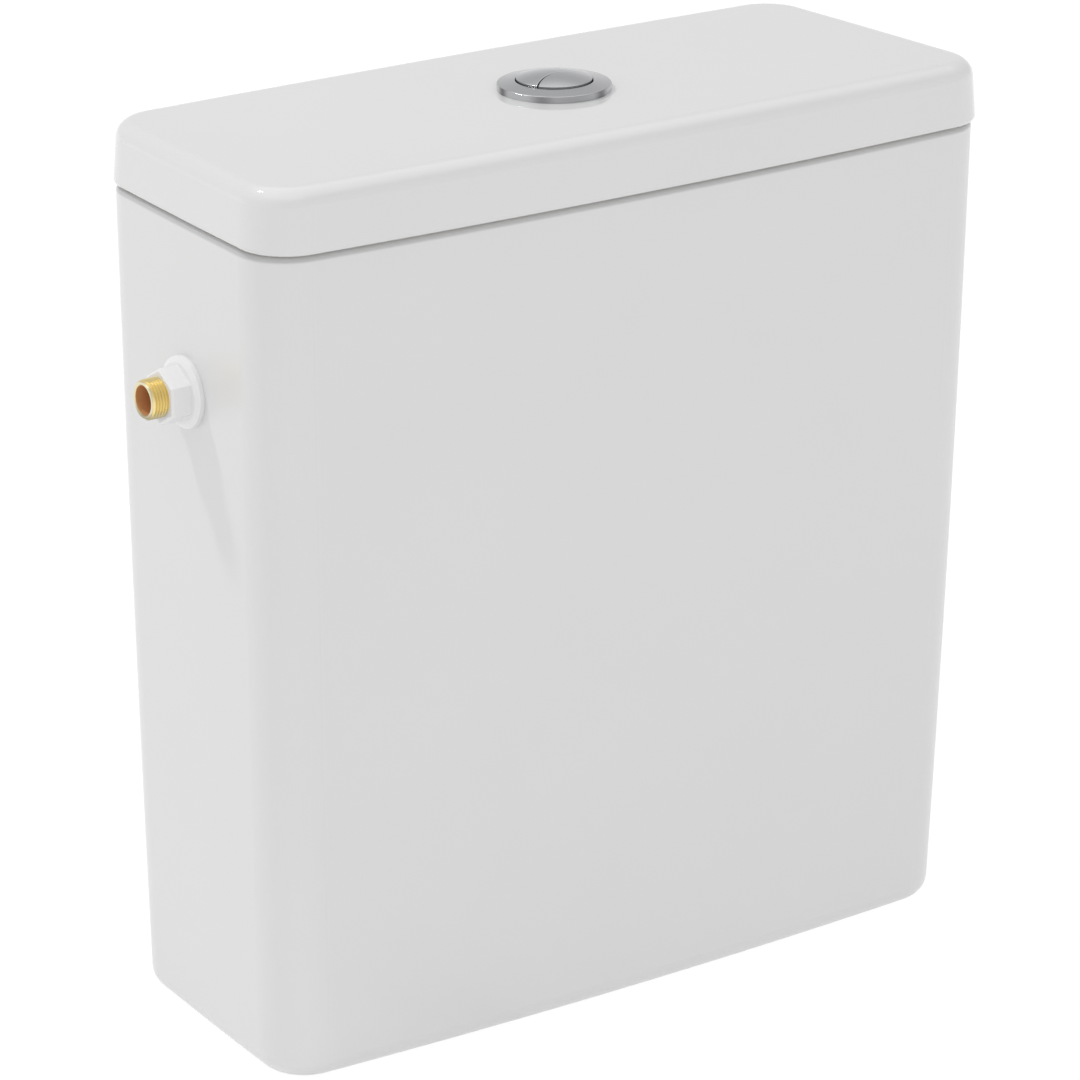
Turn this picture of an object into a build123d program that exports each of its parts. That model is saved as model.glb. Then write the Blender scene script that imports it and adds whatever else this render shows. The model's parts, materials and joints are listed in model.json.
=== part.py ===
from build123d import *
import math
import os

os.makedirs("parts", exist_ok=True)

# Close-coupled toilet cistern with a water inlet in its left side and a two-part push button.
# The origin is the mouth of the flush outlet, on its axis, level with the foot of the tank.
# X runs to the right seen from the front, Y towards the wall and Z up. Lengths are millimetres.

# Ceramic plan: the front is bowed and the sides draw in towards the wall
lid_width = 365.0
lid_depth = 143.1
plan_taper = 8.7
side_bow = 0.6
front_bow = 5.5
outlet_share = 0.5381
wall_overhang = 1.1
wall_stock = 0.1
corner_radius = 21.5
overrun = 5.0

# Tank
tank_height = 358.8
lid_overhang_width = 1.3
lid_overhang_depth = 3.1
tank_width_taper = 14.5
tank_depth_taper = 7.6
tank_side_swell = 0.7
tank_front_swell = 0.9
tank_wall = 10.0
tank_floor = 10.0
foot_height = 36.0
foot_width = 16.0
foot_round = 9.3
floor_round = 9.0
rim_round = 3.0
inner_rim_round = 2.0
bolt_spacing = 155.0
bolt_hole_radius = 6.5

# Lid
lid_edge_height = 26.4
lid_crown = 0.86
lid_draft = 1.45
lid_top_round = 7.6
lid_base_round = 2.0
lid_wall = 9.0
lid_plate = 9.8
lid_hollow_round = 5.0
lug_length = 34.0
lug_width = 5.0
lug_drop = 6.0
lug_gap = 2.0

# Chrome bezel in the lid, with its threaded sleeve
bezel_radius = 23.8
bezel_edge_height = 2.86
bezel_inner_height = 4.05
bezel_edge_round = 0.5
bezel_bore = 16.1
bezel_lip_round = 0.5
sleeve_wall = 2.7
sleeve_depth = 34.0
sleeve_lip = 2.0
sleeve_lip_width = 1.4
lid_hole_gap = 1.2
bezel_recess_edge = 1.2
bezel_gasket_thickness = 0.8
bezel_nut_width = 9.0
bezel_nut_height = 8.0
bezel_nut_notch = 5.0
bezel_nut_notch_depth = 2.0
bezel_nut_notches = 8
thread_gap = 0.1

# Two-part button: a lens in front for the half flush, a larger crescent behind it for the full flush
press_travel = 6.0
button_gap = 0.3
divide_gap = 0.5
divide_radius = 19.3
divide_offset = 21.3
button_edge_rise = 0.8
button_dome = 2.7
button_plate = 2.0
button_skirt_wall = 1.2
button_edge_round = 0.35
button_floor_gap = 1.0
guide_thickness = 4.0
guide_gap = 0.1
guide_rod_gap = 0.3
rod_radius = 2.0
rod_x = 5.5
rod_y = 8.9
rod_fit = 0.05
boss_wall = 0.7
boss_length = 12.0
rod_tip_round = 0.5
spring_wire = 0.6
spring_fit = 0.3
spring_turns = 7
wire_sides = 6

# Levers on top of the flush valve
input_arm = 17.0
output_arm = 29.0
pivot_drop = 46.8
lever_thickness = 5.0
lever_bar = 3.6
lever_hub_radius = 4.6
lever_pad_radius = 3.0
lever_tip_radius = 2.5
lever_pin_radius = 1.5
pin_running_gap = 0.06
pin_seat_gap = 0.02
pin_stand_out = 0.6
contact_gap = 0.3
side_gap = 0.5

# Flush valve
outlet_bore = 26.0
outlet_thread_radius = 29.8
outlet_hole_gap = 2.7
base_washer_thickness = 3.0
base_flange_radius = 42.0
base_flange_thickness = 4.0
seat_height = 5.0
seat_wall = 2.4
seat_step = 1.4
outlet_bore_length = 46.0
back_nut_radius = 38.0
back_nut_height = 14.0
back_nut_lobes = 12
back_nut_notch = 4.0
gasket_radius = 44.0
gasket_lift = 1.0
gasket_round = 6.0
soft_gap = 0.3

cage_radius = 38.0
cage_wall = 2.2
cage_height = 71.0
cage_sill = 7.0
cage_window_height = 40.0
cage_window_width = 24.0
cage_windows = 6
cage_top = 3.0
cage_bead = 1.2
cage_bead_height = 4.0
stem_running_gap = 0.4

tower_foot = 3.0
post_offset = 24.0
post_thickness = 4.0
post_width = 16.0
post_flange = 4.0
post_flange_wall = 2.0
tower_ring_wall = 4.0
tower_ring_height = 5.0
tower_ring_share = 0.45
post_slot_width = 6.0
post_slot_height = 26.0
post_slots = 4

bridge_thickness = 4.0
bridge_half_width = 16.0
bridge_drop = 11.0
ear_thickness = 2.6
ear_radius = 4.5
bridge_corner = 4.0
bridge_skirt = 6.0
bridge_skirt_wall = 2.0

# Flush stem: overflow tube, seal and the yoke that the levers lift
tube_radius = 13.0
tube_wall = 1.8
tube_foot_drop = 6.0
tube_top_drop = 12.0
foot_ring_radius = 21.0
foot_ring_height = 4.0
seal_radius = 32.0
seal_thickness = 3.0
retainer_radius = 27.0
retainer_height = 4.0
retainer_hub = 3.0
retainer_hub_height = 8.0
stem_float_radius = 28.0
stem_float_height = 30.0
stem_float_gap = 3.0
stem_float_round = 4.0
yoke_collar_wall = 3.0
yoke_collar_height = 10.0
yoke_arm_height = 6.0
yoke_arm_width = 8.0
yoke_plate = 4.0
yoke_side = 3.0
yoke_top = 4.0
window_side_gap = 0.6

# Water inlet
inlet_y = 3.7
inlet_drop = 71.3
thread_radius = 8.33
thread_core_radius = 7.7
thread_length = 7.5
thread_lead = 0.8
inlet_bore = 5.6
inlet_hole_gap = 1.4
inlet_land_gap = 0.5
nut_flange_radius = 14.95
nut_flange_edge = 1.6
nut_cone = 1.4
nut_cone_inset = 2.2
nut_flat_width = 20.8
nut_length = 9.0
nut_corner_bevel = 0.9
inlet_washer_radius = 15.0
inlet_washer_thickness = 3.0
shank_collar_radius = 13.5
shank_collar = 4.0
shank_inner_length = 22.0

# Fill valve
float_side_gap = 7.4
fill_body_radius = 15.0
fill_body_drop = 20.0
fill_body_rise = 17.0
socket_radius = 12.0
socket_wall_rib = 2.0
cap_radius = 17.0
cap_height = 12.0
cap_ribs = 16
cap_rib_radius = 1.0
diaphragm_radius = 13.0
diaphragm_thickness = 1.6
nozzle_radius = 2.5
nozzle_bore = 0.8
float_pivot_rise = 12.0
float_arm = 36.0
float_tail = 9.0
float_travel = 16.0
float_lever_width = 10.6
float_lever_bar = 5.0
float_hub_radius = 4.2
float_end_radius = 4.2
float_fork_gap = 0.8
float_slot_gap = 0.3
float_pin_radius = 1.5
pilot_seal_radius = 2.2
pilot_seal_length = 3.0
down_tube_radius = 8.0
down_tube_wall = 1.6
down_tube_clearance = 12.0
float_radius = 28.0
float_height = 58.0
float_wall = 1.6
float_round = 3.0
float_bore_gap = 1.2
float_drop = 42.0
float_stop_radius = 13.0
float_stop_height = 5.0
float_ear_radius = 5.0
float_ear_height = 10.0
float_rod_radius = 2.5
float_rod_rise = 6.0

# Worked out from the dimensions above
lid_back_y = lid_depth * outlet_share
tank_back_y = lid_back_y - wall_overhang
tank_top_width = lid_width - lid_overhang_width
tank_top_depth = lid_depth - lid_overhang_depth
tank_base_width = tank_top_width - tank_width_taper
tank_base_depth = tank_top_depth - tank_depth_taper
pivot_z = tank_height - pivot_drop
inlet_z = tank_height - inlet_drop
floor_top = foot_height + tank_floor
lid_top = tank_height + lid_edge_height + lid_crown
lid_under = lid_top - lid_plate
sleeve_radius = bezel_bore + sleeve_wall
lid_hole_radius = sleeve_radius + lid_hole_gap
guide_floor = lid_top - sleeve_depth + sleeve_lip
guide_top = guide_floor + guide_thickness
button_radius = bezel_bore - button_gap
button_edge_z = lid_top + bezel_inner_height + button_edge_rise
button_under = button_edge_z - button_plate
dome_peak_z = button_edge_z + button_dome
dome_side_z = dome_peak_z - button_dome * (bezel_radius / button_radius) ** 2
skirt_bottom = guide_top + press_travel + button_floor_gap
boss_radius = rod_radius + boss_wall
spring_radius = boss_radius + spring_fit + spring_wire / 2

lever_tilt = math.degrees(math.asin(press_travel / 2 / input_arm))
stem_lift = press_travel * output_arm / input_arm
pivot_x = input_arm - rod_x
rod_tip_z = pivot_z + press_travel / 2 + lever_pad_radius + contact_gap
tip_x = pivot_x + output_arm * math.cos(math.radians(lever_tilt))
tip_top_z = pivot_z - stem_lift / 2 + lever_tip_radius

flange_floor = floor_top + base_washer_thickness
flange_top = flange_floor + base_flange_thickness
seat_top = flange_top + seat_height
bridge_floor = pivot_z - bridge_drop
tube_top = bridge_floor - tube_top_drop
cage_top_z = flange_top + cage_height
tower_floor = cage_top_z + tower_foot

fill_body_floor = inlet_z - fill_body_drop
fill_body_top = inlet_z + fill_body_rise
cap_top = fill_body_top + cap_height
float_pivot_z = cap_top + float_pivot_rise
float_tilt = math.degrees(math.asin(float_travel / 2 / float_arm))
float_top = fill_body_floor - float_drop + float_stop_height
float_floor = float_top - float_height


def tank_share(z):
    """How far a height is up the tank, from 0 at the foot to 1 at the rim."""
    return z / tank_height


def tank_width(z):
    """Outer width of the tank at its front corners, with its sides slightly swollen."""
    up = tank_share(z)
    swell = 8 * tank_side_swell * up * (1 - up)
    return tank_base_width + (tank_top_width - tank_base_width) * up + swell


def tank_depth(z):
    """Outer depth of the tank at its sides."""
    up = tank_share(z)
    swell = 4 * tank_front_swell * up * (1 - up)
    return tank_base_depth + (tank_top_depth - tank_base_depth) * up + swell


def tank_side_x(y, z):
    """Distance of the tank's outer side from its middle plane."""
    back_share = (y - tank_back_y + tank_depth(z)) / tank_depth(z)
    return tank_width(z) / 2 - plan_taper * back_share + 4 * side_bow * back_share * (1 - back_share)


fill_x = -(tank_side_x(inlet_y + float_radius, float_floor) - tank_wall - float_side_gap - float_radius)
float_rod_x = fill_x + float_arm
fill_spot = (fill_x, inlet_y)
rod_spot = (float_rod_x, inlet_y)


def plan_face(z, width, depth, back_y, radius):
    """Plan of the ceramic at one height, with its bowed front and tapered sides."""
    front_y = back_y - depth
    half_front = width / 2
    half_back = half_front - plan_taper
    half_middle = (half_front + half_back) / 2 + side_bow
    middle_y = (front_y + back_y) / 2
    with BuildSketch(Plane.XY.offset(z)) as plan:
        with BuildLine():
            ThreePointArc((-half_front, front_y), (0, front_y - front_bow), (half_front, front_y))
            ThreePointArc((half_front, front_y), (half_middle, middle_y), (half_back, back_y))
            Line((half_back, back_y), (-half_back, back_y))
            ThreePointArc((-half_back, back_y), (-half_middle, middle_y), (-half_front, front_y))
        make_face()
        fillet(plan.vertices(), radius)
    return plan.sketch


def tank_plan(z, inset):
    """Plan of the tank at one height, drawn in by the given wall, with stock to dress its back flat."""
    width = tank_width(z) - 2 * inset
    depth = tank_depth(z) - 2 * inset
    return plan_face(z, width, depth + wall_stock, tank_back_y + wall_stock - inset, corner_radius - inset)


def save(piece, name):
    """Label a finished piece and write it to its own file."""
    piece.part.label = name
    export_step(piece.part, f"parts/{name}.step")


def ring_piece(spot, floor, height, outer, inner):
    """A plain ring standing on a height, for washers, collars and gaskets."""
    with BuildPart() as piece:
        with BuildSketch(Plane.XY.offset(floor)):
            with Locations(spot):
                Circle(outer)
                Circle(inner, mode=Mode.SUBTRACT)
        extrude(amount=height)
    return piece


# Tank: a tall ceramic box, wider at its rim, that stands on a hollow foot
with BuildPart() as tank_hollow:
    loft([tank_plan(z, tank_wall) for z in (floor_top, (floor_top + tank_height) / 2, tank_height)])
    fillet(tank_hollow.edges().group_by(Axis.Z)[0], floor_round)

inlet_land_x = tank_side_x(inlet_y - nut_flange_radius, inlet_z) + inlet_land_gap
inlet_inner_x = tank_side_x(inlet_y + nut_flange_radius, inlet_z) - tank_wall - inlet_land_gap


def side_plane(x):
    """A plane across the inlet's axis that looks out of the tank's left side."""
    return Plane(origin=(-x, inlet_y, inlet_z), x_dir=(0, 1, 0), z_dir=(-1, 0, 0))


with BuildPart() as tank:
    loft([tank_plan(z, 0) for z in (0, tank_height / 2, tank_height)])
    fillet(tank.edges().group_by(Axis.Z)[0], foot_round)
    fillet(tank.edges().group_by(Axis.Z)[-1], rim_round)
    extrude(tank_plan(0, foot_width), amount=foot_height, mode=Mode.SUBTRACT)
    with BuildSketch(Plane.XZ.offset(-tank_back_y)):
        Rectangle(2 * lid_width, 2 * tank_height)
    extrude(amount=-overrun, mode=Mode.SUBTRACT)
    add(tank_hollow.part, mode=Mode.SUBTRACT)
    fillet(tank.faces().sort_by(Axis.Z)[-1].inner_wires()[0].edges(), inner_rim_round)
    with BuildSketch(side_plane(inlet_inner_x)):
        Circle(nut_flange_radius)
    extrude(amount=inlet_land_x - inlet_inner_x)
    with BuildSketch(side_plane(inlet_inner_x - overrun)):
        Circle(thread_radius + inlet_hole_gap)
    extrude(amount=inlet_land_x - inlet_inner_x + 2 * overrun, mode=Mode.SUBTRACT)
    with BuildSketch(Plane.XY.offset(foot_height)):
        Circle(outlet_thread_radius + outlet_hole_gap)
        with GridLocations(bolt_spacing, 0, 2, 1):
            Circle(bolt_hole_radius)
    extrude(amount=tank_floor, mode=Mode.SUBTRACT)
save(tank, "tank")

# Lid: a shallow ceramic tray turned over, slightly crowned, that rests on the rim of the tank
lid_peak = lid_edge_height + lid_crown
crown_edge_z = lid_top - 4 * lid_crown
lug_inset = tank_wall + lug_gap + lug_width / 2
lug_back_y = tank_back_y - lug_inset
lug_front_y = tank_back_y - tank_depth(tank_height) - front_bow + lug_inset


def lid_plan(z, inset):
    """Plan of the lid at one height; the sides lean in by the draft as they rise."""
    draft = lid_draft * (z - tank_height) / lid_edge_height
    inset_here = inset + draft
    width = lid_width - 2 * inset_here
    depth = lid_depth - 2 * inset_here
    return plan_face(z, width, depth, lid_back_y - inset_here, corner_radius - inset)


with BuildPart() as lid_hollow:
    loft([lid_plan(tank_height, lid_wall), lid_plan(lid_under, lid_wall)])
    fillet(lid_hollow.edges().group_by(Axis.Z)[-1], lid_hollow_round)

with BuildPart() as lid:
    loft([lid_plan(tank_height, 0), lid_plan(lid_top, 0)])
    with BuildSketch(Plane.XZ.offset(-lid_back_y - overrun)):
        with BuildLine():
            ThreePointArc((-lid_width, crown_edge_z), (0, lid_top), (lid_width, crown_edge_z))
            Line((lid_width, crown_edge_z), (lid_width, lid_top + lid_peak))
            Line((lid_width, lid_top + lid_peak), (-lid_width, lid_top + lid_peak))
            Line((-lid_width, lid_top + lid_peak), (-lid_width, crown_edge_z))
        make_face()
    extrude(amount=lid_width, mode=Mode.SUBTRACT)
    top_edges = lid.edges().filter_by(lambda edge: edge.center().Z > lid_top - lid_crown - lid_base_round)
    fillet(top_edges, lid_top_round)
    fillet(lid.edges().group_by(Axis.Z)[0], lid_base_round)
    add(lid_hollow.part, mode=Mode.SUBTRACT)
    with BuildSketch(Plane.XY.offset(lid_under - overrun)):
        Circle(lid_hole_radius)
    extrude(amount=lid_plate + 2 * overrun, mode=Mode.SUBTRACT)
    with BuildSketch(Plane.XY.offset(tank_height - lug_drop)):
        with Locations((0, lug_back_y), (0, lug_front_y)):
            Rectangle(lug_length, lug_width)
    extrude(until=Until.NEXT)
save(lid, "lid")

# Chrome bezel: a flat ring that rises a little to its bore, on a threaded sleeve through the lid
with BuildPart() as bezel_ring:
    with BuildSketch(Plane.XZ):
        with BuildLine():
            rim = Polyline(
                (bezel_bore, lid_top + bezel_inner_height - bezel_lip_round),
                (bezel_bore, guide_floor),
                (bezel_bore - sleeve_lip_width, guide_floor),
                (bezel_bore - sleeve_lip_width, guide_floor - sleeve_lip),
                (sleeve_radius, guide_floor - sleeve_lip),
                (sleeve_radius, lid_top + bezel_gasket_thickness),
                (bezel_radius - bezel_recess_edge, lid_top + bezel_gasket_thickness),
                (bezel_radius - bezel_recess_edge, lid_top),
                (bezel_radius, lid_top),
                (bezel_radius, lid_top + bezel_edge_height - bezel_edge_round),
            )
            edge_turn = RadiusArc(
                rim @ 1,
                (bezel_radius - bezel_edge_round, lid_top + bezel_edge_height),
                -bezel_edge_round,
            )
            slope = Line(edge_turn @ 1, (bezel_bore + bezel_lip_round, lid_top + bezel_inner_height))
            RadiusArc(slope @ 1, rim @ 0, -bezel_lip_round)
        make_face()
    revolve(axis=Axis.Z)
save(bezel_ring, "bezel_ring")

bezel_gasket = ring_piece(
    (0, 0),
    lid_top,
    bezel_gasket_thickness,
    bezel_radius - bezel_recess_edge - thread_gap,
    sleeve_radius + thread_gap,
)
save(bezel_gasket, "bezel_gasket")

with BuildPart() as bezel_nut:
    with BuildSketch(Plane.XY.offset(lid_under - bezel_nut_height)):
        Circle(sleeve_radius + bezel_nut_width)
        Circle(sleeve_radius + thread_gap, mode=Mode.SUBTRACT)
        with PolarLocations(sleeve_radius + bezel_nut_width, bezel_nut_notches):
            Rectangle(2 * bezel_nut_notch_depth, bezel_nut_notch, mode=Mode.SUBTRACT)
    extrude(amount=bezel_nut_height)
save(bezel_nut, "bezel_nut")

# Guide disc at the foot of the sleeve: the rods slide through it and the springs stand on it
rod_spots = {"half": (rod_x, -rod_y), "full": (-rod_x, rod_y)}

with BuildPart() as button_guide:
    with BuildSketch(Plane.XY.offset(guide_floor)):
        Circle(bezel_bore - guide_gap)
        with Locations(*rod_spots.values()):
            Circle(rod_radius + guide_rod_gap, mode=Mode.SUBTRACT)
    extrude(amount=guide_thickness)
save(button_guide, "button_guide")


def button_plan(kind, inset):
    """Plan of one half of the button: the lens in front or the crescent behind the dividing arc."""
    with BuildSketch(Plane.XY.offset(skirt_bottom)) as plan:
        Circle(button_radius - inset)
        with Locations((0, -divide_offset)):
            if kind == "half":
                Circle(divide_radius - divide_gap / 2 - inset, mode=Mode.INTERSECT)
            else:
                Circle(divide_radius + divide_gap / 2 + inset, mode=Mode.SUBTRACT)
    return plan.sketch


with BuildPart() as button_dome:
    with BuildSketch(Plane.XZ):
        with BuildLine():
            Line((0, guide_floor), (bezel_radius, guide_floor))
            Line((bezel_radius, guide_floor), (bezel_radius, dome_side_z))
            ThreePointArc((bezel_radius, dome_side_z), (button_radius, button_edge_z), (0, dome_peak_z))
            Line((0, dome_peak_z), (0, guide_floor))
        make_face()
    revolve(axis=Axis.Z)

# Each button is a thin chrome cap, open below, with a boss that grips its rod
for kind, spot in rod_spots.items():
    with BuildPart() as button:
        extrude(button_plan(kind, 0), amount=dome_peak_z - skirt_bottom + overrun)
        add(button_dome.part, mode=Mode.INTERSECT)
        fillet(button.edges().filter_by(lambda edge: edge.center().Z > button_under), button_edge_round)
        extrude(button_plan(kind, button_skirt_wall), amount=button_under - skirt_bottom, mode=Mode.SUBTRACT)
        with BuildSketch(Plane.XY.offset(button_under - boss_length)):
            with Locations(spot):
                Circle(boss_radius)
                Circle(rod_radius + rod_fit, mode=Mode.SUBTRACT)
        extrude(amount=boss_length)
    save(button, f"{kind}_button")

    with BuildPart() as push_rod:
        with BuildSketch(Plane.XY.offset(rod_tip_z)):
            with Locations(spot):
                Circle(rod_radius)
        extrude(amount=button_under - rod_tip_z)
        fillet(push_rod.edges().group_by(Axis.Z)[0], rod_tip_round)
    save(push_rod, f"{kind}_push_rod")

    spring_height = button_under - guide_top - 2 * spring_wire
    with BuildPart() as spring:
        with BuildLine():
            coil = Helix(
                pitch=spring_height / spring_turns,
                height=spring_height,
                radius=spring_radius,
                center=(spot[0], spot[1], guide_top + spring_wire),
            )
        with BuildSketch(Plane(origin=coil @ 0, z_dir=coil % 0)):
            RegularPolygon(spring_wire / 2, wire_sides)
        sweep(is_frenet=True)
    save(spring, f"{kind}_spring")

# Flush valve: base with its threaded tail, screwed through the floor of the tank
base_washer = ring_piece(
    (0, 0), floor_top, base_washer_thickness, base_flange_radius, outlet_thread_radius + thread_gap
)
save(base_washer, "base_washer")

with BuildPart() as valve_base:
    with BuildSketch(Plane.XZ):
        Polygon(
            (outlet_bore, 0),
            (outlet_thread_radius, 0),
            (outlet_thread_radius, flange_floor),
            (base_flange_radius, flange_floor),
            (base_flange_radius, flange_top),
            (outlet_bore + seat_wall, flange_top),
            (outlet_bore + seat_wall, seat_top),
            (outlet_bore - seat_step, seat_top),
            (outlet_bore - seat_step, outlet_bore_length + seat_step),
            (outlet_bore, outlet_bore_length),
            align=None,
        )
    revolve(axis=Axis.Z)
save(valve_base, "valve_base")

with BuildPart() as outlet_back_nut:
    with BuildSketch(Plane.XY.offset(foot_height - back_nut_height)):
        Circle(back_nut_radius)
        Circle(outlet_thread_radius + thread_gap, mode=Mode.SUBTRACT)
        with PolarLocations(back_nut_radius + back_nut_notch / 3, back_nut_lobes):
            Circle(back_nut_notch, mode=Mode.SUBTRACT)
    extrude(amount=back_nut_height)
save(outlet_back_nut, "outlet_back_nut")

with BuildPart() as coupling_gasket:
    with BuildSketch(Plane.XZ):
        Polygon(
            (outlet_thread_radius + soft_gap, gasket_lift),
            (gasket_radius, gasket_lift),
            (gasket_radius, foot_height),
            (back_nut_radius + soft_gap, foot_height),
            (back_nut_radius + soft_gap, foot_height - back_nut_height - soft_gap),
            (outlet_thread_radius + soft_gap, foot_height - back_nut_height - soft_gap),
            align=None,
        )
    revolve(axis=Axis.Z)
    fillet(coupling_gasket.edges().group_by(Axis.Z)[0].sort_by(SortBy.RADIUS)[-1], gasket_round)
save(coupling_gasket, "coupling_gasket")

# Cage round the seat, with windows that let the water in to the seal
with BuildPart() as valve_cage:
    with BuildSketch(Plane.XY.offset(flange_top)):
        Circle(cage_radius)
        Circle(cage_radius - cage_wall, mode=Mode.SUBTRACT)
    extrude(amount=cage_height)
    with BuildSketch(Plane.XY.offset(cage_top_z - cage_top)):
        Circle(cage_radius)
        Circle(tube_radius + stem_running_gap, mode=Mode.SUBTRACT)
    extrude(amount=cage_top)
    for bead_z in (flange_top, cage_top_z - cage_bead_height):
        with BuildSketch(Plane.XY.offset(bead_z)):
            Circle(cage_radius + cage_bead)
            Circle(cage_radius - cage_wall, mode=Mode.SUBTRACT)
        extrude(amount=cage_bead_height)
    with BuildSketch(Plane.XY.offset(flange_top + cage_sill)):
        with PolarLocations(cage_radius, cage_windows):
            Rectangle(4 * cage_wall + 2 * cage_bead, cage_window_width)
    extrude(amount=cage_window_height, mode=Mode.SUBTRACT)
save(valve_cage, "valve_cage")

# Tower on the cage: two slotted channel posts, a foot ring and a guide ring for the tube
tower_height = bridge_floor - cage_top_z
tower_ring_z = tower_floor + tower_ring_share * (bridge_floor - tower_floor)
post_slot_pitch = (bridge_floor - tower_floor) / post_slots
post_middle = post_offset + post_thickness / 2

with BuildPart() as valve_tower:
    with BuildSketch(Plane.XY.offset(cage_top_z)):
        Circle(cage_radius)
        Circle(tube_radius + stem_running_gap, mode=Mode.SUBTRACT)
    extrude(amount=tower_foot)
    with BuildSketch(Plane.XY.offset(cage_top_z)):
        for side in (-1, 1):
            with Locations((0, side * post_middle)):
                Rectangle(post_width, post_thickness)
            with Locations((0, side * (post_offset + post_thickness + post_flange / 2))):
                with GridLocations(post_width - post_flange_wall, 0, 2, 1):
                    Rectangle(post_flange_wall, post_flange)
    extrude(amount=tower_height)
    with BuildSketch(Plane.XZ.offset(-cage_radius)):
        with Locations((0, (tower_floor + bridge_floor) / 2)):
            with GridLocations(0, post_slot_pitch, 1, post_slots):
                SlotOverall(post_slot_height, post_slot_width, rotation=90)
    extrude(amount=2 * cage_radius, mode=Mode.SUBTRACT)
    with BuildSketch(Plane.XY.offset(tower_ring_z)):
        Circle(tube_radius + stem_running_gap + tower_ring_wall)
        Rectangle(post_width, 2 * post_offset + post_thickness)
        Circle(tube_radius + stem_running_gap, mode=Mode.SUBTRACT)
    extrude(amount=tower_ring_height)
save(valve_tower, "valve_tower")

# Bridge over the tower, with a pair of ears for each lever's pin
bridge_reach = post_offset + post_thickness + post_flange
lane_half = lever_thickness / 2 + side_gap
ear_middle = lane_half + ear_thickness / 2

with BuildPart() as valve_bridge:
    with BuildSketch(Plane.XY.offset(bridge_floor)):
        RectangleRounded(2 * bridge_half_width, 2 * bridge_reach, bridge_corner)
    extrude(amount=bridge_thickness)
    with BuildSketch(Plane.XY.offset(bridge_floor - bridge_skirt)):
        for side in (-1, 1):
            with Locations((0, side * (bridge_reach - bridge_skirt_wall / 2 + bridge_skirt_wall))):
                Rectangle(post_width, bridge_skirt_wall)
    extrude(amount=bridge_skirt + bridge_thickness)
    for side in (-1, 1):
        for ear in (-1, 1):
            ear_y = side * rod_y + ear * ear_middle
            with BuildSketch(Plane.XZ.offset(-ear_y - ear_thickness / 2)):
                with Locations((side * pivot_x, pivot_z)):
                    Circle(ear_radius)
                with Locations((side * pivot_x, (bridge_floor + pivot_z) / 2)):
                    Rectangle(2 * ear_radius, pivot_z - bridge_floor)
                with Locations((side * pivot_x, pivot_z)):
                    Circle(lever_pin_radius + pin_seat_gap, mode=Mode.SUBTRACT)
            extrude(amount=ear_thickness)
save(valve_bridge, "valve_bridge")

pin_length = 2 * (lane_half + ear_thickness + pin_stand_out)
with BuildPart() as lever_pins:
    for side in (-1, 1):
        with BuildSketch(Plane.XZ.offset(-side * rod_y - pin_length / 2)):
            with Locations((side * pivot_x, pivot_z)):
                Circle(lever_pin_radius)
        extrude(amount=pin_length)
save(lever_pins, "lever_pins")

# Levers: the pad under a rod goes down, the tip in the yoke's window goes up
for kind, side in (("half", 1), ("full", -1)):
    lean = math.radians(lever_tilt)
    lever_plane = Plane(
        origin=(-side * pivot_x, -side * rod_y, pivot_z),
        x_dir=(side * math.cos(lean), 0, math.sin(lean)),
        z_dir=(0, -side, 0),
    )
    with BuildPart() as lever:
        with BuildSketch(lever_plane):
            with Locations((input_arm, 0)):
                Circle(lever_pad_radius)
            with Locations((-output_arm, 0)):
                Circle(lever_tip_radius)
            Circle(lever_hub_radius)
            with Locations(((input_arm - output_arm) / 2, 0)):
                Rectangle(input_arm + output_arm, lever_bar)
            Circle(lever_pin_radius + pin_running_gap, mode=Mode.SUBTRACT)
        extrude(amount=lever_thickness / 2, both=True)
    save(lever, f"{kind}_lever")

# Flush stem: the overflow tube carries the seal at its foot and the yoke at its top
tube_floor = seat_top - tube_foot_drop
overflow_tube = ring_piece((0, 0), tube_floor, tube_top - tube_floor, tube_radius, tube_radius - tube_wall)
save(overflow_tube, "overflow_tube")

stem_foot = ring_piece(
    (0, 0), seat_top - foot_ring_height, foot_ring_height, foot_ring_radius, tube_radius + pin_seat_gap
)
save(stem_foot, "stem_foot")

flush_seal = ring_piece((0, 0), seat_top, seal_thickness, seal_radius, tube_radius + pin_seat_gap)
save(flush_seal, "flush_seal")

retainer_floor = seat_top + seal_thickness
with BuildPart() as seal_retainer:
    with BuildSketch(Plane.XY.offset(retainer_floor)):
        Circle(retainer_radius)
        Circle(tube_radius + pin_seat_gap, mode=Mode.SUBTRACT)
    extrude(amount=retainer_height)
    with BuildSketch(Plane.XY.offset(retainer_floor)):
        Circle(tube_radius + retainer_hub)
        Circle(tube_radius + pin_seat_gap, mode=Mode.SUBTRACT)
    extrude(amount=retainer_hub_height)
save(seal_retainer, "seal_retainer")

stem_float_floor = retainer_floor + retainer_hub_height
with BuildPart() as stem_float:
    with BuildSketch(Plane.XY.offset(stem_float_floor)):
        Circle(stem_float_radius)
        Circle(tube_radius + pin_seat_gap, mode=Mode.SUBTRACT)
    extrude(amount=stem_float_height)
    outer_edges = stem_float.edges().filter_by(GeomType.CIRCLE).sort_by(SortBy.RADIUS)[-2:]
    fillet(outer_edges, stem_float_round)
save(stem_float, "stem_float")

yoke_floor = tube_top - yoke_collar_height
plate_x = tip_x - yoke_plate / 2
window_half = lever_thickness / 2 + window_side_gap
plate_half = window_half + yoke_side
lever_slot_top = tip_top_z + contact_gap
lever_slot_bottom = tip_top_z - 2 * lever_tip_radius - contact_gap
idle_top = lever_slot_top + stem_lift
idle_bottom = lever_slot_bottom - stem_lift
window_heights = {1: (idle_bottom, idle_top), -1: (lever_slot_bottom, lever_slot_top)}

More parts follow.
